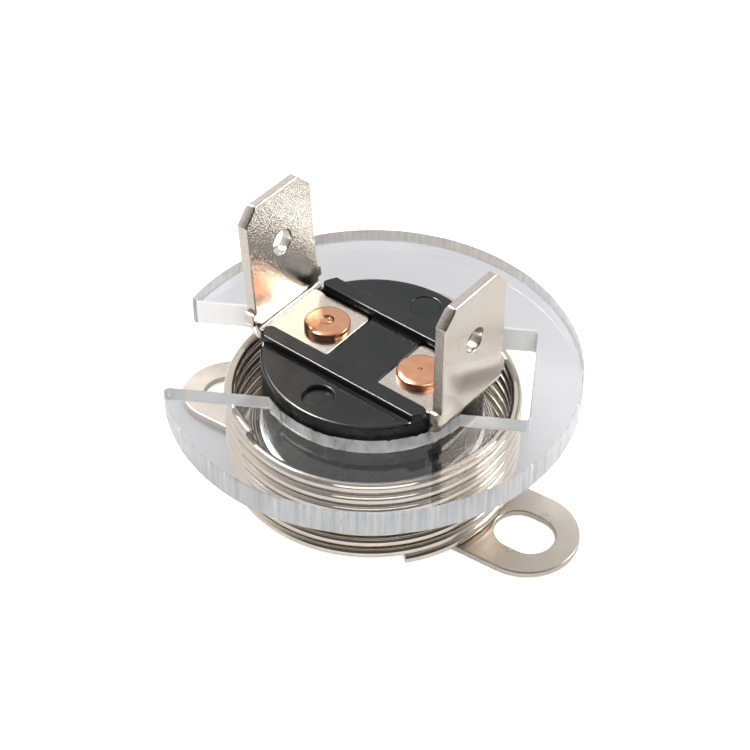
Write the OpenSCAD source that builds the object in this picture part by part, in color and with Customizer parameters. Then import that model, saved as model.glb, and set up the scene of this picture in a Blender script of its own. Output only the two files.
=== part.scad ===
// Snap-disc thermostat with a spring-loaded clear retainer plate.
// Origin: centre of the flat sensing face under the cap, +Z up, +X along the bracket's two ears.

/* [Body] */
// Diameter of the body's round wall
body_d = 14.7; // [13.6:0.1:15.2]
// Width of the channel that the terminal feet lie in
channel_w = 5.2; // [5.2:0.1:6]
// Width of each ridge beside the channel
ridge_w = 1.25; // [0.8:0.05:1.6]
// Height of the ridges above the channel floor
ridge_h = 1.35; // [0.9:0.05:1.6]
// Height of the two side lands above the channel floor
land_h = 0.8; // [0.4:0.05:1.1]
// Height of the pad between the feet above the channel floor
pad_h = 0.9; // [0.6:0.05:1.1]
// Thickness of the deck between the channel floor and the switch chamber
deck_t = 2.05; // [1.6:0.05:2.6]
// Height of the switch chamber
chamber_h = 5.5; // [5.2:0.1:6.5]
// Thickness of the flange that the cap grips
flange_t = 1.6; // [1.2:0.1:2.2]
// Reach of that flange beyond the body's wall
flange_reach = 0.5; // [0.4:0.05:0.7]
// Diameter of the round moulding marks on the lands
mark_d = 2.0; // [1.5:0.1:2.4]
// Turn of the body and its terminals from the line of the ears
body_turn = -5; // [-15:1:15]

/* [Cap] */
// Sheet thickness of the cap's wall
cap_t = 0.45; // [0.35:0.05:0.55]
// Thickness of the cap's floor under the disc
floor_t = 0.5; // [0.4:0.05:0.7]
// Height of the ledge that carries the disc above that floor
ledge_h = 0.3; // [0.26:0.02:0.4]
// Radius of the cap's bottom edge
cap_edge_r = 0.4; // [0.3:0.05:0.5]

/* [Disc and pin] */
// Diameter of the snap disc
disc_d = 12.7; // [12:0.1:13]
// Thickness of the snap disc
disc_t = 0.2; // [0.15:0.01:0.25]
// Depth of the disc's dish
disc_dish = 0.24; // [0.15:0.01:0.25]
// Room above the disc's ledge, under the guide plate
disc_room = 0.7; // [0.6:0.05:1]
// Thickness of the guide plate
guide_t = 1.0; // [0.8:0.05:1.4]
// Diameter of the transfer pin
pin_d = 1.8; // [1.4:0.1:2.2]
// Free play between the disc and the pin at rest
pin_play = 0.2; // [0.1:0.02:0.24]

/* [Terminals] */
// Width of a blade
blade_w = 6.3; // [4.8:0.1:6.3]
// Thickness of the terminal strip
strip_t = 0.8; // [0.6:0.05:0.8]
// Height of a blade's tip above the channel floor
blade_h = 9.9; // [8:0.1:11]
// Distance between the outer faces of the two blades at their bends
blade_span = 15.96; // [15.6:0.02:16.6]
// Inner radius of the bend
bend_r = 0.3; // [0.2:0.05:0.6]
// Outward lean of the left blade
left_lean = 4; // [0:0.5:5]
// Outward lean of the right blade
right_lean = 0.5; // [0:0.5:5]
// Width of a foot in the channel
foot_w = 5.0; // [4.6:0.1:5]
// Gap between the two feet, which the pad fills
foot_gap = 4.2; // [3.4:0.1:4.4]
// Corner cut of the blade's tip
tip_cut = 1.05; // [0.6:0.05:1.4]
// Diameter of the latch hole in a blade
latch_d = 1.7; // [1.4:0.1:2]
// Height of the latch hole's centre above the channel floor
latch_h = 6.05; // [5:0.05:7]
// Reach of the shoulder nubs at the foot of a blade
nub_reach = 0.35; // [0.2:0.05:0.5]

/* [Rivets] */
// Distance between the two rivets
rivet_span = 7.7; // [6.8:0.1:8]
// Diameter of a rivet's head
rivet_head_d = 3.1; // [2.6:0.1:3.4]
// Height of a rivet's head
rivet_head_h = 0.55; // [0.4:0.05:0.8]
// Diameter of a rivet's shank
rivet_d = 1.8; // [1.4:0.1:2]

/* [Switch] */
// Thickness of the contact arm
arm_t = 0.3; // [0.2:0.02:0.4]
// Width of the contact arm
arm_w = 3.6; // [3:0.1:4]
// Depth of the post that carries the arm, under the chamber's ceiling
arm_post_h = 1.6; // [1.5:0.05:2]
// Distance of the contacts from the axis
contact_x = 3.0; // [2.8:0.1:3.2]
// Diameter of the contact faces
contact_d = 2.4; // [1.8:0.1:2.4]
// Height of each contact
contact_h = 0.5; // [0.3:0.05:0.6]
// Gap drawn between the closed contacts
contact_gap = 0.05; // [0.03:0.01:0.1]
// Thickness of the fixed contact's strip
contact_strip_t = 0.4; // [0.3:0.05:0.5]
// Width of the fixed contact's strip
contact_strip_w = 3.2; // [2.6:0.1:3.4]

/* [Bracket] */
// Distance between the centres of the two ear slots
ear_pitch = 24; // [23:0.1:26]
// Width of an ear, and the diameter of its round end
ear_w = 7.3; // [6.4:0.1:8]
// Width of an ear's slot
slot_w = 3.4; // [2.8:0.1:3.8]
// Length of an ear's slot from end to end
slot_l = 4.2; // [3.9:0.1:4.6]
// Sheet thickness of the bracket
bracket_t = 0.5; // [0.4:0.05:0.7]
// Height of the ears' underside above the sensing face
ear_lift = 0.2; // [0.1:0.05:0.6]

/* [Retainer plate] */
// Diameter of the clear plate
plate_d = 27.6; // [25:0.1:30]
// Thickness of the clear plate
plate_t = 2.0; // [1.5:0.1:2.5]
// Width of the slot that passes over the terminals
plate_slot_w = 8.6; // [8.2:0.1:9.5]
// Distance of the slot's closed end from the axis
plate_slot_end = 10.5; // [10:0.1:11.5]
// Turn of the slot from the terminals in the locked place
plate_lock_turn = 31; // [25:0.5:90]

/* [Spring] */
// Diameter of the spring wire
wire_d = 0.75; // [0.6:0.01:0.9]
// Room between the cap and the inside of the coil
coil_room = 0.82; // [0.6:0.01:1.2]
// Gap between the open turns
coil_gap = 0.24; // [0.1:0.01:0.4]
// Closed turns at each end
end_turns = 0.75; // [0.5:0.25:1]
// Place of the lower cut end round the axis
coil_start = -44; // [-180:1:180]

/* [Hidden] */
$fn = 96;

// Clearances
fit_gap = 0.03;
seat_gap = 0.05;
wall_gap = 0.15;
flex_gap = 0.2;
pin_gap = 0.05;
eps = 0.01;

// Heights, from the sensing face up
ledge_z = floor_t + ledge_h;
guide_z = ledge_z + disc_room;
base_z = guide_z + guide_t;
flange_z = base_z + flange_t;
ceiling_z = base_z + chamber_h;
deck_z = ceiling_z + deck_t;
land_z = deck_z + land_h;
ridge_z = deck_z + ridge_h;
foot_top_z = deck_z + strip_t;

// Radii of the shell
body_r = body_d / 2;
flange_r = body_r + flange_reach;
cap_in_r = flange_r + fit_gap;
cap_r = cap_in_r + cap_t;
disc_r = disc_d / 2;
ledge_r = disc_r - 0.35;
guide_rim_t = 0.35;
cup_in_r = disc_r + wall_gap + guide_rim_t + fit_gap;
cup_r = cup_in_r + cap_t;
pin_r = pin_d / 2;
land_chamfer = 0.12;
mark_y = (body_r + channel_w / 2 + ridge_w) / 2;
mark_depth = 0.3;
witness_depth = 0.06;

// Terminals and rivets
bend_out_r = bend_r + strip_t;
blade_x = blade_span / 2;
bend_x = blade_x - bend_out_r;
bend_z = deck_z + bend_out_r;
ridge_half_l = bend_x - 0.25;
ridge_end_r = 0.45 * ridge_w;
foot_corner_r = 0.4;
nub_h = 0.9;
nub_z = 0.1;
tip_bevel = 0.12;
rivet_x = rivet_span / 2;
rivet_r = rivet_d / 2;
rivet_dimple_r = 0.55;
rivet_dimple_depth = 0.12;
tail_h = 0.5;
tail_r = rivet_r + 0.35;

// Switch
post_z = ceiling_z - arm_post_h;
post_r = rivet_r + 1.0;
arm_top_z = post_z - flex_gap;
arm_z = arm_top_z - arm_t;
arm_end_x = contact_x + contact_d / 2 + 0.3;
washer_t = 0.4;
washer_r = tail_r + 0.2;
washer_z = arm_z - flex_gap - washer_t;
contact_r = contact_d / 2;
stem_r = contact_r / 2;
stem_head_h = 0.2;
fixed_top_z = arm_z - contact_h - contact_gap;
strip_low_z = fixed_top_z - contact_h - contact_strip_t;
strip_out_x = rivet_x + tail_r + seat_gap + contact_strip_t;
chamber_r = sqrt(pow(strip_out_x, 2) + pow(contact_strip_w / 2, 2)) + wall_gap;
strip_in_x = contact_x - contact_r - 0.2;
strip_top_in_x = rivet_x - tail_r - 0.1;
disc_low_z = ledge_z + fit_gap - disc_dish * pow(ledge_r / disc_r, 2);
pin_low_z = disc_low_z + disc_t + pin_play;
pin_top_z = arm_z - seat_gap;

// Retainer plate, bracket and spring
plate_r = plate_d / 2;
plate_hole_r = body_r + wall_gap;
plate_top_z = deck_z - seat_gap;
plate_z = plate_top_z - plate_t;
coil_r = cap_r + coil_room + wire_d;
ring_r = cap_r - fit_gap;
ring_bore_r = cup_r + fit_gap;
ear_x = ear_pitch / 2;
slot_r = slot_w / 2;
slot_half_l = (slot_l - slot_w) / 2;
coil_z = ear_lift + bracket_t + seat_gap;
coil_h = plate_z - seat_gap - coil_z;
coil_mean_r = coil_r - wire_d / 2;
closed_pitch = wire_d + 0.02;
open_pitch = wire_d + coil_gap;
open_turns = (coil_h - wire_d - 2 * end_turns * closed_pitch) / open_pitch;
coil_turns = open_turns + 2 * end_turns;
wire_sides = 10;
turn_steps = 40;

// Points of an arc about c, from angle a to angle b
function arc(c, r, a, b, n = 8) =
    [for (i = [0 : n]) c + r * [cos(a + (b - a) * i / n), sin(a + (b - a) * i / n)]];

// Height of the wire's centre after t turns: closed, open, closed
function coil_rise(t) =
    closed_pitch * min(t, end_turns)
    + open_pitch * max(0, min(t - end_turns, open_turns))
    + closed_pitch * max(0, t - end_turns - open_turns);

// Places the body, its terminals and the switch inside it
module turned() {
    rotate([0, 0, body_turn]) children();
}

// A ring or disc between two heights
module ring(r, bore, z0, z1) {
    translate([0, 0, z0]) difference() {
        cylinder(r = r, h = z1 - z0);
        translate([0, 0, -1]) cylinder(r = bore, h = z1 - z0 + 2);
    }
}

// Moulded black body: flange, round wall, lands, ridges, channel, pad and the chamber inside
module body() {
    color("#1b1b1c") turned() difference() {
        union() {
            translate([0, 0, base_z]) cylinder(r = flange_r, h = flange_t);
            translate([0, 0, base_z]) cylinder(r = body_r, h = land_z - land_chamfer - base_z);
            translate([0, 0, land_z - land_chamfer])
                cylinder(r1 = body_r, r2 = body_r - land_chamfer, h = land_chamfer);
            body_ridges();
        }
        body_channel();
        difference() {
            translate([0, 0, base_z - 1]) cylinder(r = chamber_r, h = chamber_h + 1);
            translate([-rivet_x, 0, post_z]) cylinder(r = post_r, h = arm_post_h + 1);
        }
        for (side = [-1, 1])
            translate([side * rivet_x, 0, base_z]) cylinder(r = rivet_r + fit_gap, h = deck_z);
        translate([0, -mark_y, land_z - mark_depth]) cylinder(d = mark_d, h = 1);
        translate([0, mark_y, land_z - witness_depth]) cylinder(d = mark_d, h = 1);
    }
}

// Two ridges beside the channel, with round ends where the terminals bend up
module body_ridges() {
    intersection() {
        translate([0, 0, deck_z]) cylinder(r = body_r - land_chamfer / 2, h = ridge_h);
        for (side = [-1, 1])
            translate([0, side * (channel_w + ridge_w) / 2, deck_z - 1]) linear_extrude(ridge_h + 1)
                offset(r = ridge_end_r, $fn = 32)
                    square([2 * (ridge_half_l - ridge_end_r), ridge_w - 2 * ridge_end_r], center = true);
    }
}

// Channel for the two feet, with the pad left standing, and room for the blades' bends
module body_channel() {
    difference() {
        translate([-body_r - 1, -channel_w / 2, deck_z]) cube([2 * body_r + 2, channel_w, ridge_h + 1]);
        translate([-foot_gap / 2 + fit_gap, -channel_w / 2 - 1, deck_z - 1])
            cube([foot_gap - 2 * fit_gap, channel_w + 2, pad_h + 1]);
    }
    for (side = [-1, 1])
        translate([side * (ridge_half_l + body_r) - body_r, -blade_w / 2 - nub_reach - wall_gap, deck_z])
            cube([2 * body_r, blade_w + 2 * nub_reach + 2 * wall_gap, ridge_h + 1]);
}

// Drawn cap: flat sensing face, lower cup, shoulder over the bracket's ring and a lip rolled over the flange
module cap() {
    lip_in_r = body_r + fit_gap;
    lip_z = flange_z + cap_t;
    shoulder_z = ear_lift + bracket_t + seat_gap;
    profile = concat(
        [[0, 0]],
        arc([cup_r - cap_edge_r, cap_edge_r], cap_edge_r, -90, 0),
        [[cup_r, shoulder_z], [cap_r, shoulder_z]],
        arc([cap_r - cap_t, lip_z - cap_t], cap_t, 0, 90),
        [[lip_in_r, lip_z], [lip_in_r, flange_z], [cap_in_r, flange_z],
         [cap_in_r, shoulder_z + cap_t], [cup_in_r, shoulder_z + cap_t],
         [cup_in_r, ledge_z], [ledge_r, ledge_z], [ledge_r, floor_t], [0, floor_t]]);
    color("#c9c9c7") rotate_extrude() polygon(profile);
}

// Guide plate: a shallow cup that holds the disc down at its rim and guides the pin
module guide_plate() {
    hole_r = pin_r + pin_gap;
    rim_in_r = disc_r + wall_gap;
    rim_out_r = cup_in_r - fit_gap;
    top_r = cap_in_r - fit_gap;
    color("#d8d0c0") rotate_extrude() polygon([
        [hole_r, guide_z], [rim_in_r, guide_z], [rim_in_r, ledge_z], [rim_out_r, ledge_z],
        [rim_out_r, guide_z], [top_r, guide_z], [top_r, base_z], [hole_r, base_z]]);
}

// Snap disc, dished downwards while cold
module bimetal_disc() {
    steps = 8;
    lower = [for (i = [0 : steps]) [disc_r * i / steps, disc_low_z + disc_dish * pow(i / steps, 2)]];
    upper = [for (i = [steps : -1 : 0]) lower[i] + [0, disc_t]];
    color("#b0a890") rotate_extrude() polygon(concat(lower, upper));
}

// Ceramic pin between the disc and the contact arm, with eased ends
module transfer_pin() {
    ease = 0.2;
    color("#efe9dc") rotate_extrude() polygon([
        [0, pin_low_z], [pin_r - ease, pin_low_z], [pin_r, pin_low_z + ease],
        [pin_r, pin_top_z - ease], [pin_r - ease, pin_top_z], [0, pin_top_z]]);
}

// Spring leaf from the left rivet to the contacts
module contact_arm() {
    color("#b87a45") turned() translate([0, 0, arm_z]) linear_extrude(arm_t) difference() {
        union() {
            translate([-rivet_x, -arm_w / 2]) square([arm_end_x + rivet_x, arm_w]);
            translate([-rivet_x, 0]) circle(d = arm_w);
        }
        translate([-rivet_x, 0]) circle(r = rivet_r + flex_gap);
        translate([contact_x, 0]) circle(r = stem_r + fit_gap);
    }
}

// A contact button: face of radius contact_r, stem through a strip of thickness t, upset head
module contact_button(t) {
    cylinder(r = contact_r, h = contact_h);
    cylinder(r = stem_r, h = contact_h + t);
    translate([0, 0, contact_h + t]) cylinder(r = stem_r + 0.3, h = stem_head_h);
}

// Silver contact under the arm's free end
module moving_contact() {
    color("#d9d9d6") turned() translate([contact_x, 0, arm_z - contact_h]) contact_button(arm_t);
}

// Washer that backs the arm on the left rivet
module arm_washer() {
    color("#cfc9b8") turned() translate([-rivet_x, 0, 0])
        ring(washer_r, rivet_r + fit_gap, washer_z, washer_z + washer_t);
}

// Strip from the right rivet down the chamber's wall and in under the moving contact
module contact_strip() {
    t = contact_strip_t;
    color("#c08a4c") turned() difference() {
        rotate([90, 0, 0]) linear_extrude(contact_strip_w, center = true) polygon([
            [strip_top_in_x, ceiling_z], [strip_out_x, ceiling_z], [strip_out_x, strip_low_z],
            [strip_in_x, strip_low_z], [strip_in_x, strip_low_z + t], [strip_out_x - t, strip_low_z + t],
            [strip_out_x - t, ceiling_z - t], [strip_top_in_x, ceiling_z - t]]);
        translate([rivet_x, 0, ceiling_z - t - 1]) cylinder(r = rivet_r + fit_gap, h = t + 2);
        translate([contact_x, 0, strip_low_z - 1]) cylinder(r = stem_r + fit_gap, h = t + 2);
    }
}

// Silver contact on the strip's lower leg
module fixed_contact() {
    color("#d9d9d6") turned() translate([contact_x, 0, fixed_top_z]) mirror([0, 0, 1])
        contact_button(contact_strip_t);
}

// Copper rivet from its flat head on the foot down to a clinched tail at tail_z
module rivet(x, tail_z) {
    color("#c4764e") turned() translate([x, 0, 0]) difference() {
        union() {
            translate([0, 0, foot_top_z]) cylinder(d = rivet_head_d, h = rivet_head_h);
            translate([0, 0, tail_z]) cylinder(r = rivet_r, h = foot_top_z - tail_z + rivet_head_h / 2);
            translate([0, 0, tail_z]) cylinder(r = tail_r, h = tail_h);
        }
        translate([0, 0, foot_top_z + rivet_head_h - rivet_dimple_depth])
            cylinder(r1 = rivet_dimple_r / 2, r2 = rivet_dimple_r, h = rivet_dimple_depth + eps);
    }
}

module rivet_left() {
    rivet(-rivet_x, washer_z - tail_h);
}

module rivet_right() {
    rivet(rivet_x, ceiling_z - contact_strip_t - tail_h);
}

// Side profile of a terminal: foot, bend, and a blade that leans outwards with a bevelled tip
module terminal_profile(lean) {
    centre = [bend_x, bend_z];
    across = [cos(lean), -sin(lean)];
    along = [sin(lean), cos(lean)];
    inner = centre + bend_r * across;
    outer = centre + bend_out_r * across;
    length = (blade_h - bend_out_r * (1 - sin(lean))) / cos(lean);
    polygon(concat(
        [[foot_gap / 2, deck_z]],
        arc(centre, bend_out_r, -90, -lean),
        [outer + (length - 2 * tip_bevel) * along, outer - tip_bevel * across + length * along,
         inner + tip_bevel * across + length * along, inner + (length - 2 * tip_bevel) * along],
        arc(centre, bend_r, -lean, -90),
        [[foot_gap / 2, foot_top_z]]));
}

// Plan of a foot, its inner corners rounded
module foot_plan() {
    translate([foot_gap / 2 + foot_corner_r, -foot_w / 2]) square([bend_x - foot_gap / 2, foot_w]);
    translate([foot_gap / 2 - 1, -foot_w / 2 + foot_corner_r])
        square([2 * foot_corner_r + 1, foot_w - 2 * foot_corner_r]);
    for (side = [-1, 1])
        translate([foot_gap / 2 + foot_corner_r, side * (foot_w / 2 - foot_corner_r)])
            circle(r = foot_corner_r);
}

// Front outline of a blade, y across and z up, with the nubs at its shoulders and a cut-off tip
module blade_outline() {
    top_z = deck_z + blade_h;
    half_w = blade_w / 2;
    polygon([
        [-half_w, deck_z - 1], [half_w, deck_z - 1], [half_w, top_z - tip_cut], [half_w - tip_cut - 1, top_z + 1],
        [-half_w + tip_cut + 1, top_z + 1], [-half_w, top_z - tip_cut]]);
    translate([-half_w - nub_reach, bend_z + nub_z]) square([blade_w + 2 * nub_reach, nub_h]);
}

// Terminal on the +X side: its side profile, cut to the plan of the foot and the outline of the blade
module terminal(lean) {
    difference() {
        intersection() {
            rotate([90, 0, 0]) linear_extrude(2 * blade_w, center = true) terminal_profile(lean);
            union() {
                translate([0, 0, deck_z - 1]) linear_extrude(strip_t + 2) foot_plan();
                translate([bend_x, 0, 0]) rotate([90, 0, 90]) linear_extrude(blade_h) blade_outline();
            }
        }
        translate([rivet_x, 0, deck_z - 1]) cylinder(r = rivet_r + fit_gap, h = strip_t + 2);
        translate([bend_x, 0, bend_z]) rotate([0, lean, 0]) translate([0, 0, latch_h - bend_out_r])
            rotate([0, 90, 0]) cylinder(d = latch_d, h = 2 * bend_out_r);
    }
}

module terminal_right() {
    color("#c8c3ba") turned() terminal(right_lean);
}

module terminal_left() {
    color("#c8c3ba") turned() rotate([0, 0, 180]) terminal(left_lean);
}

// Plan of one round-ended ear
module ear_plan() {
    translate([0, -ear_w / 2]) square([ear_x, ear_w]);
    translate([ear_x, 0]) circle(d = ear_w);
}

// Plan of one ear's slot
module slot_plan() {
    for (side = [-1, 1])
        translate([ear_x + side * slot_half_l, 0]) circle(r = slot_r);
    translate([ear_x - slot_half_l, -slot_r]) square([2 * slot_half_l, slot_w]);
}

// Plated steel bracket: a flat ring round the cap's cup and two slotted ears that carry the spring
module bracket() {
    color("#b9b3a8") translate([0, 0, ear_lift]) linear_extrude(bracket_t) difference() {
        union() {
            circle(r = ring_r);
            ear_plan();
            rotate([0, 0, 180]) ear_plan();
        }
        circle(r = ring_bore_r);
        slot_plan();
        rotate([0, 0, 180]) slot_plan();
    }
}

// Clear plate with a slot that is open through the rim on one side and closed on the other
module retainer_plate() {
    color("#dfe9ec", 0.35) translate([0, 0, plate_z]) rotate([0, 0, body_turn + plate_lock_turn])
        linear_extrude(plate_t) difference() {
            circle(r = plate_r);
            circle(r = plate_hole_r);
            translate([-plate_r - 1, -plate_slot_w / 2]) square([plate_r + 1 + plate_slot_end, plate_slot_w]);
        }
}

// Coil spring: a round wire swept along a right-hand helix with closed ends
module coil_spring() {
    rings = ceil(coil_turns * turn_steps);
    points = [
        for (i = [0 : rings], k = [0 : wire_sides - 1])
            let (t = coil_turns * i / rings, a = coil_start + 360 * t, p = 360 * k / wire_sides,
                 r = coil_mean_r + wire_d / 2 * cos(p))
                [r * cos(a), r * sin(a), coil_z + wire_d / 2 + coil_rise(t) + wire_d / 2 * sin(p)]];
    sides = [
        for (i = [0 : rings - 1], k = [0 : wire_sides - 1])
            let (a = i * wire_sides + k, b = i * wire_sides + (k + 1) % wire_sides)
                [a, b, b + wire_sides, a + wire_sides]];
    first_end = [for (k = [wire_sides - 1 : -1 : 0]) k];
    last_end = [for (k = [0 : wire_sides - 1]) rings * wire_sides + k];
    color("#bfbab0") polyhedron(points = points, faces = concat([first_end, last_end], sides));
}

body();
cap();
bracket();
retainer_plate();
coil_spring();
terminal_left();
terminal_right();
rivet_left();
rivet_right();
guide_plate();
bimetal_disc();
transfer_pin();
contact_arm();
moving_contact();
arm_washer();
contact_strip();
fixed_contact();
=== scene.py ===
"""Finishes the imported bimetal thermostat: moulded body, blades, rivets, clear plate, spring and stage."""

import math

import bmesh
import bpy
import numpy as np
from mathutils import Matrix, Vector


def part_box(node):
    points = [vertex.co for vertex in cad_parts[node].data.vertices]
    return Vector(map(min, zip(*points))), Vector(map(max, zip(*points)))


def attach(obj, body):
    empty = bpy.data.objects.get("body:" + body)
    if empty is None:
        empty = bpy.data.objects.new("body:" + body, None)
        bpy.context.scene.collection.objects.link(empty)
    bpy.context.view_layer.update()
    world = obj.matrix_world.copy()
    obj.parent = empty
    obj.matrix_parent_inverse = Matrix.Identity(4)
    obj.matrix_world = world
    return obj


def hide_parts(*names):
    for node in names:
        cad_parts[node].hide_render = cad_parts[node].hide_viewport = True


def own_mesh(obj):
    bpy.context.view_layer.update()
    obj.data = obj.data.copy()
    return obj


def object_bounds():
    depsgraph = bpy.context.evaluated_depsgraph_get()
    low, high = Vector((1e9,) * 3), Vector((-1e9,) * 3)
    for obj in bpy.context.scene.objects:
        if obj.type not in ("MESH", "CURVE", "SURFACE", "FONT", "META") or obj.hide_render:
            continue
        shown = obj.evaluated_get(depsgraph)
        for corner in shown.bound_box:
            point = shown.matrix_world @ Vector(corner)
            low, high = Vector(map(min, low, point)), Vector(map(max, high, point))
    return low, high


bl_info = {
    "name": "Bimetal thermostat",
    "version": (1, 0, 0),
    "blender": (4, 5, 0),
    "location": "3D View > Sidebar > Thermostat",
    "description": "Finishes a snap-disc thermostat with a spring-loaded clear plate",
    "category": "Object",
}

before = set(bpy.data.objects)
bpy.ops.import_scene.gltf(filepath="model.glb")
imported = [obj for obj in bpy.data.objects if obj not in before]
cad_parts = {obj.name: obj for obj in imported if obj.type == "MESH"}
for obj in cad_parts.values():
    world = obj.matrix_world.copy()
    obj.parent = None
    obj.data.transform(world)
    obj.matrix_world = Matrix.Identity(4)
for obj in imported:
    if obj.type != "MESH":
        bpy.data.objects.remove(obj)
cad_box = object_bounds()

MM = 0.001
# Turn of the plate's slot and of the spring's lower cut end about the axis, in degrees, as in the CAD
SLOT_TURN = 26.0
COIL_START = -44.0
# Edges that turn by more than this many degrees are rounded or kept sharp
STEEP = 32.0


def linear(code):
    """Linear RGBA of an sRGB colour written as a hex code."""
    part = np.array([int(code[i:i + 2], 16) for i in (1, 3, 5)]) / 255
    value = np.where(part <= 0.04045, part / 12.92, ((part + 0.055) / 1.055) ** 2.4)
    return (*value.tolist(), 1.0)


def corners(node):
    """Lowest and highest corner of a node's box, in metres."""
    return tuple(np.array(corner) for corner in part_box(node))


class ThermostatSizes(bpy.types.PropertyGroup):
    """Sizes of the finish, in metres"""

    mould_edge: bpy.props.FloatProperty(
        name="Moulded edge", description="Rounding of the moulded body's edges",
        default=0.14 * MM, min=0.0, precision=6, unit="LENGTH")
    strip_edge: bpy.props.FloatProperty(
        name="Blade edge", description="Rounding of the stamped blades' edges",
        default=0.09 * MM, min=0.0, precision=6, unit="LENGTH")
    sheet_edge: bpy.props.FloatProperty(
        name="Bracket edge", description="Rounding of the bracket's stamped edges",
        default=0.1 * MM, min=0.0, precision=6, unit="LENGTH")
    plate_edge: bpy.props.FloatProperty(
        name="Plate edge", description="Eased edge of the clear plate",
        default=0.09 * MM, min=0.0, precision=6, unit="LENGTH")
    plate_hole_d: bpy.props.FloatProperty(
        name="Plate hole", description="Diameter of the clear plate's hole",
        default=15.0 * MM, min=0.0, precision=5, unit="LENGTH")
    plate_slot_w: bpy.props.FloatProperty(
        name="Plate slot", description="Width of the slot that lets the blades through",
        default=8.6 * MM, min=0.0, precision=5, unit="LENGTH")
    plate_slot_end: bpy.props.FloatProperty(
        name="Slot end", description="Closed end of the slot, measured from the axis",
        default=10.5 * MM, min=0.0, precision=5, unit="LENGTH")
    wire_d: bpy.props.FloatProperty(
        name="Spring wire", description="Diameter of the spring's wire",
        default=0.75 * MM, min=0.0, precision=5, unit="LENGTH")
    coil_gap: bpy.props.FloatProperty(
        name="Coil gap", description="Gap between the spring's open turns",
        default=0.24 * MM, min=0.0, precision=6, unit="LENGTH")
    end_turns: bpy.props.FloatProperty(
        name="Closed turns", description="Closed turns at each end of the spring", default=0.75, min=0.0)
    rivet_edge: bpy.props.FloatProperty(
        name="Rivet edge", description="Rounding of the rivet heads' rims",
        default=0.16 * MM, min=0.0, precision=6, unit="LENGTH")


class ThermostatColours(bpy.types.PropertyGroup):
    """Colours of the finish, linear"""

    phenolic: bpy.props.FloatVectorProperty(
        name="Phenolic", description="Black moulding compound",
        subtype="COLOR", size=4, min=0.0, max=1.0, default=linear("#0f1010"))
    nickel: bpy.props.FloatVectorProperty(
        name="Nickel", description="Nickel plating of blades and bracket",
        subtype="COLOR", size=4, min=0.0, max=1.0, default=linear("#c9c0b5"))
    wire: bpy.props.FloatVectorProperty(
        name="Spring wire", description="Plated spring wire",
        subtype="COLOR", size=4, min=0.0, max=1.0, default=linear("#d2c8bb"))
    copper: bpy.props.FloatVectorProperty(
        name="Copper", description="Bare copper of the rivets",
        subtype="COLOR", size=4, min=0.0, max=1.0, default=linear("#d59e7e"))
    acrylic: bpy.props.FloatVectorProperty(
        name="Acrylic", description="Clear plate",
        subtype="COLOR", size=4, min=0.0, max=1.0, default=linear("#f6f6f7"))


def add(tree, kind, inputs=None, **settings):
    """Adds one node: settings are its properties, inputs the values of its sockets or the outputs to link."""
    node = tree.nodes.new(kind)
    for key, value in settings.items():
        setattr(node, key, value)
    for key, value in (inputs or {}).items():
        if isinstance(value, bpy.types.NodeSocket):
            tree.links.new(value, node.inputs[key])
        else:
            node.inputs[key].default_value = value
    return node


def new_material(name):
    """An empty material with its shader and output, and the coordinates that its patterns use."""
    material = bpy.data.materials.new(name)
    material.use_nodes = True
    tree = material.node_tree
    tree.nodes.clear()
    shader = add(tree, "ShaderNodeBsdfPrincipled")
    add(tree, "ShaderNodeOutputMaterial", {"Surface": shader.outputs["BSDF"]})
    place = add(tree, "ShaderNodeTexCoord")
    return material, tree, shader, place


def join(tree, shader, tone, gloss, bump):
    """Links a material's colour, roughness and bump to its shader."""
    tree.links.new(tone, shader.inputs["Base Color"])
    tree.links.new(gloss.outputs[0], shader.inputs["Roughness"])
    tree.links.new(bump.outputs["Normal"], shader.inputs["Normal"])


def shade(colour, factor):
    """A colour made lighter or darker by a factor."""
    return (*[min(1.0, c * factor) for c in colour[:3]], 1.0)


def moulded_phenolic(colour):
    """Compression-moulded phenolic: near-black, half glossy, with a fine grain and paler cloudy patches."""
    material, tree, shader, place = new_material("moulded_phenolic")
    cloud = add(tree, "ShaderNodeTexNoise", {
        "Vector": place.outputs["Object"], "Scale": 1 / (2.2 * MM), "Detail": 5.0, "Roughness": 0.6})
    tone = add(tree, "ShaderNodeMix", {
        0: cloud.outputs["Fac"], 6: shade(colour, 0.7), 7: shade(colour, 1.5)}, data_type="RGBA")
    gloss = add(tree, "ShaderNodeMapRange", {
        "Value": cloud.outputs["Fac"], "From Min": 0.3, "From Max": 0.7, "To Min": 0.2, "To Max": 0.3})
    grain = add(tree, "ShaderNodeTexNoise", {
        "Vector": place.outputs["Object"], "Scale": 1 / (0.14 * MM), "Detail": 3.0})
    bump = add(tree, "ShaderNodeBump", {
        "Height": grain.outputs["Fac"], "Strength": 0.35, "Distance": 0.012 * MM})
    join(tree, shader, tone.outputs[2], gloss, bump)
    shader.inputs["IOR"].default_value = 1.45
    return material


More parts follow.
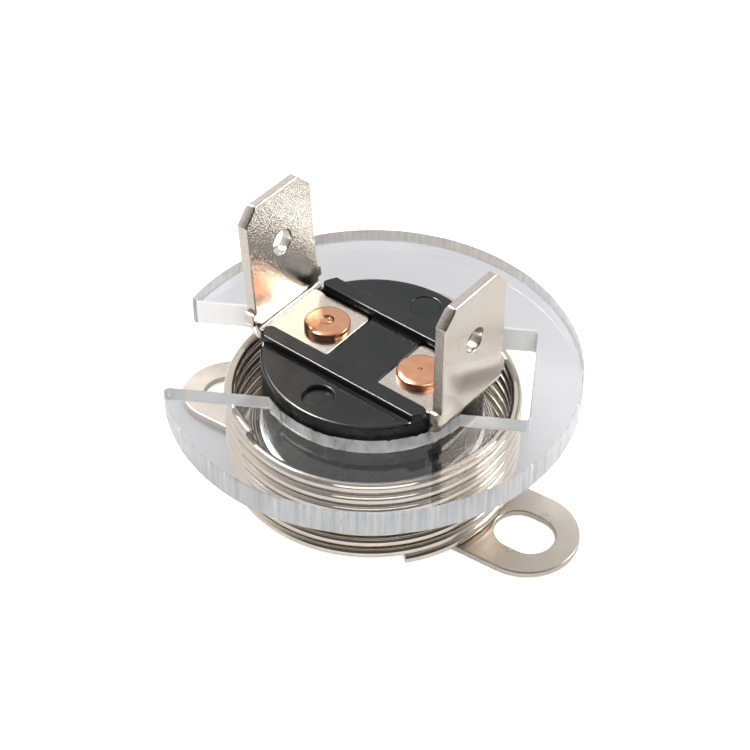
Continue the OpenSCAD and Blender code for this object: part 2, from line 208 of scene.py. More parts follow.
def nickel_plate(name, colour, satin, peel_mm, speckle, grained):
    """Barrel-plated nickel: warm grey, satin, with a soft cloudy tone and, on the side that faces the
    grained direction, a grain of the given depth and contrast."""
    material, tree, shader, place = new_material(name)
    cloud = add(tree, "ShaderNodeTexNoise", {
        "Vector": place.outputs["Object"], "Scale": 1 / (1.6 * MM), "Detail": 4.0, "Roughness": 0.65})
    tone = add(tree, "ShaderNodeMix", {
        0: cloud.outputs["Fac"], 6: shade(colour, 0.9), 7: shade(colour, 1.06)}, data_type="RGBA")
    gloss = add(tree, "ShaderNodeMapRange", {
        "Value": cloud.outputs["Fac"], "From Min": 0.3, "From Max": 0.7,
        "To Min": 0.85 * satin, "To Max": 1.15 * satin})
    peel = add(tree, "ShaderNodeTexNoise", {
        "Vector": place.outputs["Object"], "Scale": 1 / (0.12 * MM), "Detail": 2.0, "Roughness": 0.55})
    facing = add(tree, "ShaderNodeVectorMath", {
        0: place.outputs["Normal"], 1: grained}, operation="DOT_PRODUCT")
    side = add(tree, "ShaderNodeMapRange", {
        "Value": facing.outputs["Value"], "From Min": -0.5, "From Max": 0.5, "To Min": 0.12, "To Max": 1.0})
    bump = add(tree, "ShaderNodeBump", {
        "Height": peel.outputs["Fac"], "Strength": side.outputs[0], "Distance": peel_mm * MM})
    least = add(tree, "ShaderNodeMath", {
        0: side.outputs[0], 1: -speckle, 2: 1.0}, operation="MULTIPLY_ADD")
    grit = add(tree, "ShaderNodeMapRange", {
        "Value": peel.outputs["Fac"], "From Min": 0.35, "From Max": 0.65,
        "To Min": least.outputs[0], "To Max": 1.0})
    dusted = add(tree, "ShaderNodeVectorMath", {
        0: tone.outputs[2], "Scale": grit.outputs[0]}, operation="SCALE")
    join(tree, shader, dusted.outputs["Vector"], gloss, bump)
    shader.inputs["Metallic"].default_value = 1.0
    return material


def plated_wire(colour):
    """Nickel-plated drawn wire: bright, with faint die lines along it, coarser than real so they show."""
    material, tree, shader, place = new_material("plated_wire")
    stretch = add(tree, "ShaderNodeMapping", {"Vector": place.outputs["UV"], "Scale": (26.0, 1.5, 1.0)})
    lines = add(tree, "ShaderNodeTexNoise", {
        "Vector": stretch.outputs["Vector"], "Scale": 1.0, "Detail": 3.0, "Roughness": 0.6})
    tone = add(tree, "ShaderNodeMix", {
        0: lines.outputs["Fac"], 6: shade(colour, 0.8), 7: shade(colour, 1.08)}, data_type="RGBA")
    gloss = add(tree, "ShaderNodeMapRange", {
        "Value": lines.outputs["Fac"], "From Min": 0.3, "From Max": 0.7, "To Min": 0.05, "To Max": 0.1})
    bump = add(tree, "ShaderNodeBump", {
        "Height": lines.outputs["Fac"], "Strength": 0.15, "Distance": 0.01 * MM})
    join(tree, shader, tone.outputs[2], gloss, bump)
    shader.inputs["Metallic"].default_value = 1.0
    return material


def upset_copper(colour):
    """Bare copper upset by a spinning tool: rosy, with rings about its centre and a little tarnish."""
    material, tree, shader, place = new_material("upset_copper")
    tarnish = add(tree, "ShaderNodeTexNoise", {
        "Vector": place.outputs["Object"], "Scale": 1 / (0.7 * MM), "Detail": 4.0})
    tone = add(tree, "ShaderNodeMix", {
        0: tarnish.outputs["Fac"], 6: shade(colour, 0.78), 7: shade(colour, 1.08)}, data_type="RGBA")
    stretch = add(tree, "ShaderNodeMapping", {"Vector": place.outputs["UV"], "Scale": (2.0, 95.0, 1.0)})
    rings = add(tree, "ShaderNodeTexNoise", {
        "Vector": stretch.outputs["Vector"], "Scale": 1.0, "Detail": 2.0})
    gloss = add(tree, "ShaderNodeMapRange", {
        "Value": tarnish.outputs["Fac"], "From Min": 0.3, "From Max": 0.7, "To Min": 0.14, "To Max": 0.24})
    bump = add(tree, "ShaderNodeBump", {
        "Height": rings.outputs["Fac"], "Strength": 0.4, "Distance": 0.008 * MM})
    join(tree, shader, tone.outputs[2], gloss, bump)
    shader.inputs["Metallic"].default_value = 1.0
    return material


def polished_acrylic(colour):
    """Cast acrylic sheet: clear and mirror smooth, with a very slow waviness."""
    material, tree, shader, place = new_material("polished_acrylic")
    wave = add(tree, "ShaderNodeTexNoise", {
        "Vector": place.outputs["Object"], "Scale": 1 / (6.0 * MM), "Detail": 2.0})
    gloss = add(tree, "ShaderNodeMapRange", {
        "Value": wave.outputs["Fac"], "From Min": 0.3, "From Max": 0.7, "To Min": 0.0, "To Max": 0.03})
    bump = add(tree, "ShaderNodeBump", {
        "Height": wave.outputs["Fac"], "Strength": 0.2, "Distance": 0.03 * MM})
    tree.links.new(gloss.outputs[0], shader.inputs["Roughness"])
    tree.links.new(bump.outputs["Normal"], shader.inputs["Normal"])
    shader.inputs["Base Color"].default_value = colour
    shader.inputs["Transmission Weight"].default_value = 1.0
    shader.inputs["IOR"].default_value = 1.49
    return material


def cut_acrylic(name, dark, light, run, rough, depth_mm, clear):
    """Cut edge of the sheet: tool streaks across its thickness, run mm apart along the edge, paler where
    they are frosted, and painted darker where light gets through, as painted shade of what shows through."""
    material, tree, shader, place = new_material(name)
    stretch = add(tree, "ShaderNodeMapping", {
        "Vector": place.outputs["UV"], "Scale": (1 / run, 0.12, 1.0)})
    streak = add(tree, "ShaderNodeTexNoise", {
        "Vector": stretch.outputs["Vector"], "Scale": 1.0, "Detail": 5.0, "Roughness": 0.65})
    share = add(tree, "ShaderNodeMapRange", {
        "Value": streak.outputs["Fac"], "From Min": 0.35, "From Max": 0.65})
    # The dark tone is painted shade of what shows through the clearer streaks
    tone = add(tree, "ShaderNodeMix", {
        0: share.outputs[0], 6: linear(dark), 7: linear(light)}, data_type="RGBA")
    gloss = add(tree, "ShaderNodeMapRange", {
        "Value": streak.outputs["Fac"], "From Min": 0.3, "From Max": 0.7,
        "To Min": 0.4 * rough, "To Max": rough})
    bump = add(tree, "ShaderNodeBump", {
        "Height": streak.outputs["Fac"], "Strength": 0.5, "Distance": depth_mm * MM})
    join(tree, shader, tone.outputs[2], gloss, bump)
    shader.inputs["Transmission Weight"].default_value = clear
    shader.inputs["IOR"].default_value = 1.49
    return material


def inner_finish(name, code, metallic, rough, grain_mm, depth_mm):
    """A plain inner finish: two tones of one colour in a grain, with matching gloss and a shallow bump."""
    material, tree, shader, place = new_material(name)
    colour = linear(code)
    grain = add(tree, "ShaderNodeTexNoise", {
        "Vector": place.outputs["Object"], "Scale": 1 / (grain_mm * MM), "Detail": 4.0})
    tone = add(tree, "ShaderNodeMix", {
        0: grain.outputs["Fac"], 6: shade(colour, 0.82), 7: shade(colour, 1.1)}, data_type="RGBA")
    gloss = add(tree, "ShaderNodeMapRange", {
        "Value": grain.outputs["Fac"], "From Min": 0.3, "From Max": 0.7,
        "To Min": 0.8 * rough, "To Max": 1.2 * rough})
    bump = add(tree, "ShaderNodeBump", {
        "Height": grain.outputs["Fac"], "Strength": 0.3, "Distance": depth_mm * MM})
    join(tree, shader, tone.outputs[2], gloss, bump)
    shader.inputs["Metallic"].default_value = metallic
    return material


def grid_quads(rows, cols):
    """Quads of a grid counted row by row, its columns closed into a loop, with the row and the unwrapped
    column of each corner."""
    i, j = np.meshgrid(np.arange(rows - 1), np.arange(cols), indexing="ij")
    row = np.stack([i, i, i + 1, i + 1], axis=-1).reshape(-1, 4)
    col = np.stack([j, j + 1, j + 1, j], axis=-1).reshape(-1, 4)
    return row * cols + col % cols, row, col


def piece(name, points, faces, materials, uv=None, index=None, sharp=35.0):
    """Object at the origin from points in metres and faces, merged at its poles, with its faces outwards."""
    mesh = bpy.data.meshes.new(name)
    mesh.from_pydata(points, [], faces)
    if uv is not None:
        mesh.uv_layers.new(name="UVMap").uv.foreach_set("vector", np.asarray(uv, np.float32).ravel())
    if index is not None:
        mesh.polygons.foreach_set("material_index", np.asarray(index, np.int32))
    work = bmesh.new()
    work.from_mesh(mesh)
    bmesh.ops.remove_doubles(work, verts=work.verts, dist=1e-7)
    bmesh.ops.recalc_face_normals(work, faces=work.faces)
    work.to_mesh(mesh)
    work.free()
    mesh.polygons.foreach_set("use_smooth", np.ones(len(mesh.polygons), bool))
    mesh.set_sharp_from_angle(angle=math.radians(sharp))
    for material in materials:
        mesh.materials.append(material)
    made = bpy.data.objects.new(name, mesh)
    bpy.context.scene.collection.objects.link(made)
    return made


def revolved(profile, segments, centre=(0.0, 0.0)):
    """Points, quads and UV of a profile (radius, height) turned about a vertical axis: each point is
    (radius cos a, radius sin a, height), UV is the turn and the distance along the profile in 10 mm."""
    profile = np.asarray(profile, float)
    angle = np.linspace(0, 2 * np.pi, segments, endpoint=False)
    x = profile[:, :1] * np.cos(angle) + centre[0]
    y = profile[:, :1] * np.sin(angle) + centre[1]
    z = np.repeat(profile[:, 1:], segments, axis=1)
    along = np.concatenate([[0], np.cumsum(np.linalg.norm(np.diff(profile, axis=0), axis=1))])
    faces, row, col = grid_quads(len(profile), segments)
    uv = np.stack([col / segments, along[row] / (10 * MM)], axis=-1)
    return np.stack([x, y, z], axis=-1).reshape(-1, 3), faces, uv


def arc(centre, radius, start, end, count):
    """Points on a circle from one angle to another, in degrees, without the last one."""
    angle = np.radians(np.linspace(start, end, count, endpoint=False))
    return np.asarray(centre) + radius * np.stack([np.cos(angle), np.sin(angle)], axis=-1)


def line(start, end, count):
    """Points on a straight line, without the last one."""
    share = np.linspace(0, 1, count, endpoint=False)[:, None]
    return np.asarray(start) * (1 - share) + np.asarray(end) * share


def smooth_noise(count, width, seed):
    """A closed run of noise between -1 and 1: seeded random numbers averaged with a bell of that width."""
    values = np.random.default_rng(seed).standard_normal(count)
    step = np.minimum(np.arange(count), count - np.arange(count))
    bell = np.exp(-0.5 * (step / width) ** 2)
    run = np.real(np.fft.ifft(np.fft.fft(values) * np.fft.fft(bell)))
    return run / np.abs(run).max()


def steep_edges(mesh, least):
    """Which edges of a closed mesh turn by more than the least angle, outwards and inwards: an edge turns
    outwards where the cross product of its faces' normals runs along it as the first face goes round."""
    count, total = len(mesh.loops), np.empty(len(mesh.polygons), np.int32)
    mesh.polygons.foreach_get("loop_total", total)
    edge, vert = np.empty(count, np.int32), np.empty(count, np.int32)
    mesh.loops.foreach_get("edge_index", edge)
    mesh.loops.foreach_get("vertex_index", vert)
    place, normal = np.empty(3 * len(mesh.vertices), np.float32), np.empty(3 * len(total), np.float32)
    mesh.vertices.foreach_get("co", place)
    mesh.polygons.foreach_get("normal", normal)
    last = np.cumsum(total) - 1
    ahead = np.arange(1, count + 1)
    ahead[last] = last - total + 1
    way = place.reshape(-1, 3)[vert[ahead]] - place.reshape(-1, 3)[vert]
    face = np.repeat(np.arange(len(total)), total)
    pair = np.argsort(edge, kind="stable").reshape(-1, 2)
    first, second = normal.reshape(-1, 3)[face[pair[:, 0]]], normal.reshape(-1, 3)[face[pair[:, 1]]]
    steep = (first * second).sum(axis=1) < math.cos(math.radians(least))
    outward = (np.cross(first, second) * way[pair[:, 0]]).sum(axis=1) > 0
    return steep & outward, steep & ~outward


def dressed_copy(node, name, edge, segments, material):
    """A merged copy of a CAD solid with its flat faces joined, its outward edges rounded by a bevel and its
    flats kept flat to the eye by normals weighted with the faces' areas."""
    sliver, flat = 0.02 * MM, math.radians(0.6)
    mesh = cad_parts[node].data.copy()
    mesh.name = name
    work = bmesh.new()
    work.from_mesh(mesh)
    bmesh.ops.remove_doubles(work, verts=work.verts, dist=sliver)
    bmesh.ops.dissolve_limit(work, angle_limit=flat, verts=work.verts, edges=work.edges)
    bmesh.ops.dissolve_degenerate(work, dist=sliver, edges=work.edges)
    work.to_mesh(mesh)
    work.free()
    mesh.polygons.foreach_set("use_smooth", np.ones(len(mesh.polygons), bool))
    outward, inward = steep_edges(mesh, STEEP)
    weight = mesh.attributes.new("bevel_weight_edge", "FLOAT", "EDGE")
    weight.data.foreach_set("value", outward.astype(np.float32))
    mesh.edges.foreach_set("use_edge_sharp", inward)
    mesh.materials.clear()
    mesh.materials.append(material)
    made = bpy.data.objects.new(name, mesh)
    bpy.context.scene.collection.objects.link(made)
    bevel = made.modifiers.new("rounded_edges", "BEVEL")
    bevel.width = edge
    bevel.segments = segments
    bevel.limit_method = "WEIGHT"
    bevel.use_clamp_overlap = False
    flats = made.modifiers.new("flat_flats", "WEIGHTED_NORMAL")
    flats.weight = 50
    flats.keep_sharp = True
    return made


def settle(made, body, slot, *nodes):
    """Lets a finished piece ride on its body and stand for its nodes; its slot is not used."""
    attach(made, body)
    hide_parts(*nodes)


class THERMOSTAT_OT_body(bpy.types.Operator):
    """Rounds the moulded body's edges and gives it its phenolic finish"""

    bl_idname = "thermostat.body"
    bl_label = "Moulded body"

    def execute(self, context):
        sizes, colours = context.scene.thermostat_sizes, context.scene.thermostat_colours
        made = dressed_copy("body", "moulded_body", sizes.mould_edge, 3, moulded_phenolic(colours.phenolic))
        settle(made, "housing", "phenolic", "body")
        return {"FINISHED"}


class THERMOSTAT_OT_blades(bpy.types.Operator):
    """Rounds the stamped edges of both terminals and plates them"""

    bl_idname = "thermostat.blades"
    bl_label = "Blade terminals"

    def execute(self, context):
        sizes, colours = context.scene.thermostat_sizes, context.scene.thermostat_colours
        finishes = {
            # The left blade's plating is painted 1.2 times lighter than the right's: painted light for the
            # strong back light that its inner face catches
            "left": nickel_plate(
                "left_nickel_painted_lighter", shade(colours.nickel, 1.2),
                satin=0.15, peel_mm=0.025, speckle=0.3, grained=(1, 0, 0)),
            "right": nickel_plate(
                "right_nickel_on_brass", colours.nickel,
                satin=0.22, peel_mm=0.025, speckle=0.3, grained=(-1, 0, 0))}
        for side, nickel in finishes.items():
            made = dressed_copy(f"terminal_{side}", f"blade_{side}", sizes.strip_edge, 3, nickel)
            settle(made, "housing", "plated_brass", f"terminal_{side}")
        return {"FINISHED"}


class THERMOSTAT_OT_rivets(bpy.types.Operator):
    """Turns the two copper rivets with their upset heads"""

    bl_idname = "thermostat.rivets"
    bl_label = "Rivets"

    def execute(self, context):
        sizes, colours = context.scene.thermostat_sizes, context.scene.thermostat_colours
        copper = upset_copper(colours.copper)
        edge = sizes.rivet_edge
        head_h, crown, shank_r, tail_r, tail_h = 0.55 * MM, 0.1 * MM, 0.9 * MM, 1.25 * MM, 0.5 * MM
        dent, dent_floor = 0.14 * MM, 0.16 * MM
        for side, dimple in (("left", 0.46 * MM), ("right", 0.14 * MM)):
            low, high = corners(f"rivet_{side}")
            head_r = (high[0] - low[0]) / 2
            centre = (low[:2] + high[:2]) / 2
            top, under, tail = high[2], high[2] - head_h, low[2]
            profile = np.concatenate([
                [[0, tail], [tail_r - edge, tail]],
                arc((tail_r - edge, tail + edge), edge, -90, 0, 5),
                [[tail_r, tail + edge], [tail_r, tail + tail_h], [shank_r, tail + tail_h],
                 [shank_r, under], [head_r, under]],
                arc((head_r - edge, top - crown - edge), edge, 0, 80, 8),
                line((0.8 * head_r, top - 0.4 * crown), (1.15 * dimple, top), 6),
                line((1.05 * dimple, top), (0.6 * dimple, top - dent), 4),
                [[0.3 * dimple, top - dent_floor], [0, top - dent_floor]]])
            points, faces, uv = revolved(profile, 72, centre)
            made = piece(f"copper_rivet_{side}", points, faces, [copper], uv)
            settle(made, "housing", "copper", f"rivet_{side}")
        return {"FINISHED"}


class THERMOSTAT_OT_plate(bpy.types.Operator):
    """Cuts the clear plate with its hole, its open slot and its chipped edges"""

    bl_idname = "thermostat.plate"
    bl_label = "Clear plate"

    def execute(self, context):
        sizes, colours = context.scene.thermostat_sizes, context.scene.thermostat_colours
        low, high = corners("retainer_plate")
        outline, kind = self.outline(
            (high[1] - low[1]) / 2, sizes.plate_hole_d / 2, sizes.plate_slot_w / 2, sizes.plate_slot_end)
        points, faces, uv, index = self.carried(outline, kind, low[2], high[2], sizes.plate_edge)
        finishes = [
            polished_acrylic(colours.acrylic),
            # The first colour of each cut edge is painted shade of what shows through its clearer streaks
            cut_acrylic(
                "turned_rim_acrylic", "#cdced3", "#fdfdfc", run=0.35, rough=0.3, depth_mm=0.04, clear=0.65),
            cut_acrylic(
                "milled_slot_acrylic", "#f8f8f7", "#fdfdfc", run=1.2, rough=0.1, depth_mm=0.015, clear=0.1),
            cut_acrylic(
                "bored_hole_acrylic", "#a9aaa9", "#fdfdfc", run=1.5, rough=0.5, depth_mm=0.1, clear=0.2)]
        made = piece("clear_plate", points, faces, finishes, uv, index, sharp=25.0)
        settle(made, "plate", "clear_acrylic", "retainer_plate")
        return {"FINISHED"}

    @staticmethod
    def outline(rim, hole, half, end):
        """One closed run round the plate, solid on its left: the rim's arc, a rounded mouth corner, a slot
        wall, half of the hole, the slot's closed end, the other half of the hole, the other wall and mouth
        corner. Each point's kind is the place of its finish in the list: 1 rim, 2 slot, 3 hole."""
        mouth, corner = 0.35 * MM, 0.3 * MM
        mouth_x = -math.sqrt((rim - mouth) ** 2 - (half + mouth) ** 2)
        mouth_a = math.degrees(math.atan2(half + mouth, mouth_x))
        hole_x = math.sqrt(hole ** 2 - half ** 2)
        hole_a = math.degrees(math.asin(half / hole))
        stretches = [
            (1, arc((0, 0), rim, -mouth_a, mouth_a, 320)),
            (1, arc((mouth_x, half + mouth), mouth, mouth_a, 270, 8)),
            (2, line((mouth_x, half), (-hole_x, half), 40)),
            (3, arc((0, 0), hole, 180 - hole_a, hole_a, 180)),
            (2, line((hole_x, half), (end - corner, half), 24)),
            (2, arc((end - corner, half - corner), corner, 90, 0, 6)),
            (2, line((end, half - corner), (end, corner - half), 40)),
            (2, arc((end - corner, corner - half), corner, 0, -90, 6)),
            (2, line((end - corner, -half), (hole_x, -half), 24)),
            (3, arc((0, 0), hole, -hole_a, hole_a - 180, 180)),
            (2, line((-hole_x, -half), (mouth_x, -half), 40)),
            (1, arc((mouth_x, -half - mouth), mouth, 90, 360 - mouth_a, 8))]
        turn = math.radians(SLOT_TURN)
        turned = np.array([[math.cos(turn), math.sin(turn)], [-math.sin(turn), math.cos(turn)]])
        kind = np.concatenate([np.full(len(run), tag) for tag, run in stretches])
        return np.concatenate([run for _, run in stretches]) @ turned, kind

    @staticmethod
    def carried(outline, kind, low, high, edge):
        """The outline carried up through the sheet in four rows: eased below, two at full size and eased
        above. The easing is uneven along the run, most of all round the hole, so the edge looks chipped;
        UV is in millimetres."""
        count = len(outline)
        ahead = np.roll(outline, -1, axis=0) - np.roll(outline, 1, axis=0)
        out = np.stack([ahead[:, 1], -ahead[:, 0]], axis=-1) / np.linalg.norm(ahead, axis=1, keepdims=True)
        ragged = np.where(kind == 3, 1.5, 0.5)
        chips = [edge * (1 + ragged * np.clip(smooth_noise(count, 1.3, seed), 0, 1)) for seed in (3, 8)]
        rows = [
            (outline - out * chips[0][:, None], np.full(count, low)),
            (outline, low + chips[0]),
            (outline, high - chips[1]),
            (outline - out * chips[1][:, None], np.full(count, high))]
        points = np.concatenate([np.column_stack(row) for row in rows])
        sides, row, col = grid_quads(4, count)
        step = np.linalg.norm(np.roll(outline, -1, axis=0) - outline, axis=1)
        along = np.concatenate([[0], np.cumsum(step)])
        height = np.array([low, low + edge, high - edge, high])
        uv = np.stack([along[col], height[row]], axis=-1).reshape(-1, 2) / MM
        faces = [*sides.tolist(), list(range(count - 1, -1, -1)), list(range(3 * count, 4 * count))]
        flat = np.concatenate([outline[::-1], outline]) / MM
        index = np.concatenate([np.tile(kind, 3), [0, 0]])
        return points, faces, np.concatenate([uv, flat]), index


class THERMOSTAT_OT_spring(bpy.types.Operator):
    """Winds the coil spring with closed ends"""

    bl_idname = "thermostat.spring"
    bl_label = "Coil spring"

    def execute(self, context):
        sizes, colours = context.scene.thermostat_sizes, context.scene.thermostat_colours
        low, high = corners("coil_spring")
        points, faces, uv = self.wound(
            (high[0] - low[0]) / 2, low[2], high[2], sizes.wire_d / 2, sizes.coil_gap, sizes.end_turns)
        made = piece("coil_spring_wire", points, faces, [plated_wire(colours.wire)], uv, sharp=50.0)
        settle(made, "spring", "spring_wire", "coil_spring")
        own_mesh(made)
        return {"FINISHED"}

    @staticmethod
    def wound(coil_r, low, high, wire_r, gap, closed):
        """A round wire carried along a right-hand helix: angle and height both grow with the turn, slowly in
        the closed ends and by the open pitch between them; each ring lies at the mean radius plus the wire's
        radius times cos, and at that height plus the wire's radius times sin."""
        closed_gap, turn_rings = 0.02 * MM, 120
        closed_pitch, open_pitch = 2 * wire_r + closed_gap, 2 * wire_r + gap
        opened = (high - low - 2 * wire_r - 2 * closed * closed_pitch) / open_pitch
        turns = opened + 2 * closed
        rings, sides = int(turns * turn_rings), 20
        turn = np.linspace(0, turns, rings)
        rise = (closed_pitch * np.minimum(turn, closed)
                + open_pitch * np.clip(turn - closed, 0, opened)
                + closed_pitch * np.clip(turn - closed - opened, 0, None))
        angle = math.radians(COIL_START) + 2 * np.pi * turn
        round_wire = np.linspace(np.pi, -np.pi, sides, endpoint=False)
        reach = coil_r - wire_r + wire_r * np.cos(round_wire)[None, :]
        x, y = reach * np.cos(angle)[:, None], reach * np.sin(angle)[:, None]
        z = low + wire_r + rise[:, None] + wire_r * np.sin(round_wire)[None, :]
        faces, row, col = grid_quads(rings, sides)
        along = 2 * np.pi * (coil_r - wire_r) * turn / (10 * MM)
        uv = np.stack([col / sides, along[row]], axis=-1).reshape(-1, 2)
        ends = [list(range(sides)), list(range(rings * sides - 1, (rings - 1) * sides - 1, -1))]
        return np.stack([x, y, z], axis=-1).reshape(-1, 3), [*faces.tolist(), *ends], np.concatenate(
            [uv, np.zeros((2 * sides, 2))])


class THERMOSTAT_OT_shell(bpy.types.Operator):
    """Rounds the bracket's stamped edges and turns the drawn cap"""

    bl_idname = "thermostat.shell"
    bl_label = "Bracket and cap"

    def execute(self, context):
        sizes, colours = context.scene.thermostat_sizes, context.scene.thermostat_colours
        nickel = nickel_plate(
            "nickel_plated_steel", shade(colours.nickel, 0.92),
            satin=0.3, peel_mm=0.0, speckle=0.0, grained=(0, 0, 1))
        made = dressed_copy("bracket", "eared_bracket", sizes.sheet_edge, 3, nickel)
        settle(made, "housing", "plated_steel", "bracket")
        low, high = corners("cap")
        reach, base, top = (high[0] - low[0]) / 2, low[2], high[2]
        wall, edge, lip, cup, shoulder = 0.45 * MM, 0.4 * MM, 7.38 * MM, 7.33 * MM, 0.75 * MM
        roll, ease = 0.9 * MM, 0.15 * MM
        profile = np.concatenate([
            [[0, base]],
            arc((cup - edge, base + edge), edge, -90, 0, 10),
            [[cup, base + edge], [cup, base + shoulder], [reach - ease, base + shoulder],
             [reach, base + shoulder + ease]],
            arc((reach - roll, top - roll), roll, 0, 90, 12),
            [[reach - roll, top], [lip, top], [lip, top - wall], [reach - wall, top - wall],
             [reach - wall, base + shoulder + wall], [cup - wall, base + shoulder + wall],
             [cup - wall, base + wall], [0, base + wall]]])
        points, faces, uv = revolved(profile, 160)
        drawn = inner_finish(
            "drawn_aluminium", "#c4c4c2", metallic=1.0, rough=0.12, grain_mm=0.5, depth_mm=0.006)
        settle(piece("drawn_cap", points, faces, [drawn], uv), "housing", "aluminium_cap", "cap")
        return {"FINISHED"}


class THERMOSTAT_OT_switch(bpy.types.Operator):
    """Finishes the parts of the switch inside the body"""

    bl_idname = "thermostat.switch"
    bl_label = "Switch inside"

    def execute(self, context):
        ceramic = inner_finish(
            "steatite_ceramic", "#ece6da", metallic=0.0, rough=0.45, grain_mm=0.3, depth_mm=0.01)
        bimetal = inner_finish(
            "rolled_bimetal", "#b3ab98", metallic=1.0, rough=0.3, grain_mm=0.4, depth_mm=0.005)
        leaf = inner_finish(
            "copper_alloy_leaf", "#c28b58", metallic=1.0, rough=0.28, grain_mm=0.4, depth_mm=0.005)
        silver = inner_finish(
            "silver_contact", "#e2e0db", metallic=1.0, rough=0.22, grain_mm=0.25, depth_mm=0.008)
        brass = inner_finish(
            "tinned_washer", "#cfc9bb", metallic=1.0, rough=0.3, grain_mm=0.35, depth_mm=0.006)
        finishes = {
            "guide_plate": ceramic, "transfer_pin": ceramic, "bimetal_disc": bimetal, "contact_arm": leaf,
            "contact_strip": leaf, "moving_contact": silver, "fixed_contact": silver, "arm_washer": brass}
        for node, finish in finishes.items():
            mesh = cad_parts[node].data
            mesh.materials.clear()
            mesh.materials.append(finish)
        return {"FINISHED"}


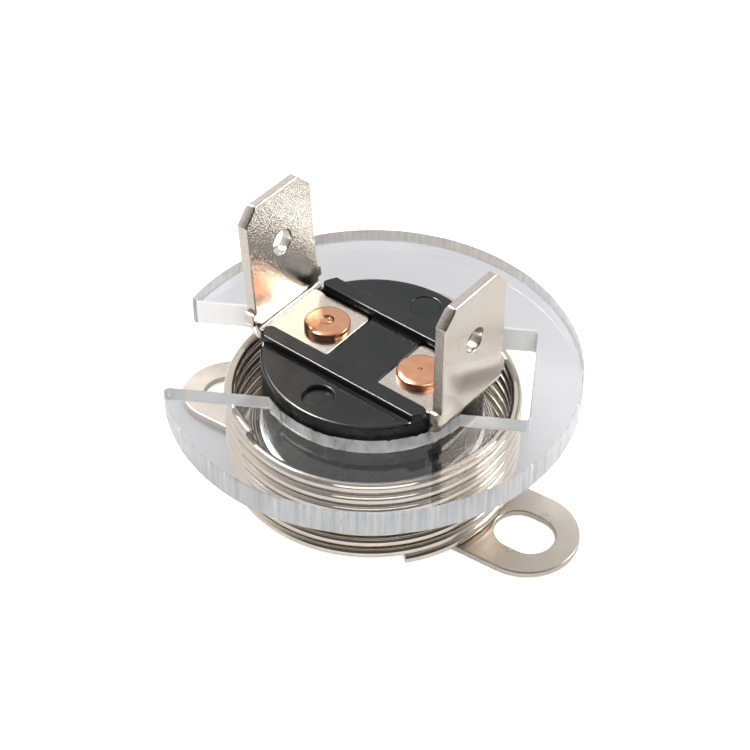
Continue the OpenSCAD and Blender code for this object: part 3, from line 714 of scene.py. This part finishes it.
class THERMOSTAT_OT_stage(bpy.types.Operator):
    """Sets the pale floor, the soft lamps, the white backdrop and the camera"""

    bl_idname = "thermostat.stage"
    bl_label = "Stage"

    def execute(self, context):
        self.floor()
        self.backdrop(context.scene)
        self.lamp("key", (-0.2, 0.06, 0.28), size=0.12, power=0.4)
        self.lamp("edge", (-0.16, 0.0, 0.31), size=0.04, power=1.6).visible_diffuse = False
        self.lamp("fill", (0.16, -0.24, 0.2), size=0.3, power=0.7).visible_glossy = False
        self.lamp("back", (0.271, 0.22, 0.248), size=0.13, power=0.75)
        self.camera(context.scene)
        context.scene.view_settings.view_transform = "Standard"
        return {"FINISHED"}

    def floor(self):
        """A white paper floor: it keeps the object's soft shadow over a base level that reads as white."""
        material = bpy.data.materials.new("white_paper")
        material.use_nodes = True
        tree = material.node_tree
        tree.nodes.clear()
        path = add(tree, "ShaderNodeLightPath")
        # Seen through the clear plate the paper is painted greyer: painted shade under the plate
        colour = add(tree, "ShaderNodeMix", {
            0: path.outputs["Is Transmission Ray"], 6: linear("#f4f4f4"), 7: linear("#cbcbce")},
            data_type="RGBA")
        paper = add(tree, "ShaderNodeBsdfDiffuse", {"Color": colour.outputs[2]})
        mirrored = add(tree, "ShaderNodeMath", {
            0: path.outputs["Is Glossy Ray"], 1: path.outputs["Is Transmission Ray"]}, operation="MAXIMUM")
        dim = add(tree, "ShaderNodeMath", {0: mirrored.outputs[0], 1: 0.1}, operation="MULTIPLY")
        level = add(tree, "ShaderNodeMix", {0: path.outputs["Is Camera Ray"], 2: dim.outputs[0], 3: 0.62})
        glow = add(tree, "ShaderNodeEmission", {"Color": (1, 1, 1, 1), "Strength": level.outputs[0]})
        both = add(tree, "ShaderNodeAddShader", {0: paper.outputs[0], 1: glow.outputs[0]})
        add(tree, "ShaderNodeOutputMaterial", {"Surface": both.outputs[0]})
        side, height = 3.0, cad_box[0][2] - 0.02 * MM
        mesh = bpy.data.meshes.new("floor")
        mesh.from_pydata(
            [(-side, -side, height), (side, -side, height), (side, side, height), (-side, side, height)],
            [], [(0, 1, 2, 3)])
        mesh.materials.append(material)
        made = bpy.data.objects.new("floor", mesh)
        bpy.context.scene.collection.objects.link(made)

    def backdrop(self, scene):
        """The world: plain white where the camera sees it, white walls and a dark side in front in a mirror,
        and a soft even light on the object."""
        world = bpy.data.worlds.new("studio")
        scene.world = world
        world.use_nodes = True
        tree = world.node_tree
        tree.nodes.clear()
        path = add(tree, "ShaderNodeLightPath")
        way = add(tree, "ShaderNodeTexCoord")
        facing = add(tree, "ShaderNodeVectorMath", {
            0: way.outputs["Generated"], 1: (0.5, -0.75, 0.43)}, operation="DOT_PRODUCT")
        wall = add(tree, "ShaderNodeMapRange", {
            "Value": facing.outputs["Value"],
            "From Min": 0.1, "From Max": 0.7, "To Min": 1.0, "To Max": 0.1})
        mirrored = add(tree, "ShaderNodeMath", {
            0: path.outputs["Is Glossy Ray"], 1: path.outputs["Is Transmission Ray"]}, operation="MAXIMUM")
        lit = add(tree, "ShaderNodeMix", {0: mirrored.outputs[0], 2: 0.45, 3: wall.outputs[0]})
        level = add(tree, "ShaderNodeMix", {0: path.outputs["Is Camera Ray"], 2: lit.outputs[0], 3: 1.0})
        sky = add(tree, "ShaderNodeBackground", {"Color": (1, 1, 1, 1), "Strength": level.outputs[0]})
        add(tree, "ShaderNodeOutputWorld", {"Surface": sky.outputs[0]})

    @staticmethod
    def lamp(name, place, size, power):
        """A square soft lamp that looks at the object's middle."""
        data = bpy.data.lights.new(name, "AREA")
        data.size, data.energy = size, power
        made = bpy.data.objects.new(name, data)
        made.location = place
        made.rotation_euler = (Vector((0, 0, 8 * MM)) - Vector(place)).to_track_quat("-Z", "Y").to_euler()
        bpy.context.scene.collection.objects.link(made)
        return made

    @staticmethod
    def camera(scene):
        """The camera at the photograph's angle, aimed a little below the deck's middle."""
        turn, tilt, distance = math.radians(33.525), math.radians(42.377), 127.7 * MM
        right = Vector((math.cos(turn), math.sin(turn), 0))
        up = Vector((-math.sin(tilt) * math.sin(turn), math.sin(tilt) * math.cos(turn), math.cos(tilt)))
        ahead = up.cross(right)
        aim = Vector((0, 0, 10.35 * MM)) + right * 0.127 * MM - up * 1.251 * MM
        data = bpy.data.cameras.new("camera")
        data.lens, data.sensor_width = 94.0, 36.0
        data.clip_start, data.clip_end = 0.005, 20.0
        made = bpy.data.objects.new("camera", data)
        made.location = aim - ahead * distance
        made.rotation_mode = "QUATERNION"
        made.rotation_quaternion = ahead.to_track_quat("-Z", "Y")
        scene.collection.objects.link(made)
        scene.camera = made


STEPS = (
    THERMOSTAT_OT_body, THERMOSTAT_OT_blades, THERMOSTAT_OT_rivets, THERMOSTAT_OT_plate,
    THERMOSTAT_OT_spring, THERMOSTAT_OT_shell, THERMOSTAT_OT_switch, THERMOSTAT_OT_stage)


class THERMOSTAT_PT_sidebar(bpy.types.Panel):
    """Lists the thermostat's pieces, sizes and colours"""

    bl_idname = "THERMOSTAT_PT_sidebar"
    bl_label = "Bimetal thermostat"
    bl_space_type = "VIEW_3D"
    bl_region_type = "UI"
    bl_category = "Thermostat"

    def draw(self, context):
        for step in STEPS:
            self.layout.operator(step.bl_idname)
        for group in (context.scene.thermostat_sizes, context.scene.thermostat_colours):
            for key in group.bl_rna.properties.keys():
                if key not in {"rna_type", "name"}:
                    self.layout.prop(group, key)


CLASSES = (ThermostatSizes, ThermostatColours, *STEPS, THERMOSTAT_PT_sidebar)


def register():
    """Registers the classes and puts the sizes and colours on the scene."""
    for cls in CLASSES:
        bpy.utils.register_class(cls)
    bpy.types.Scene.thermostat_sizes = bpy.props.PointerProperty(type=ThermostatSizes)
    bpy.types.Scene.thermostat_colours = bpy.props.PointerProperty(type=ThermostatColours)


def unregister():
    """Takes the sizes and colours off the scene and unregisters the classes."""
    del bpy.types.Scene.thermostat_colours
    del bpy.types.Scene.thermostat_sizes
    for cls in reversed(CLASSES):
        bpy.utils.unregister_class(cls)


def main():
    """Makes every piece in order."""
    register()
    bpy.ops.thermostat.body()
    bpy.ops.thermostat.blades()
    bpy.ops.thermostat.rivets()
    bpy.ops.thermostat.plate()
    bpy.ops.thermostat.spring()
    bpy.ops.thermostat.shell()
    bpy.ops.thermostat.switch()
    bpy.ops.thermostat.stage()


if __name__ == "__main__":
    main()
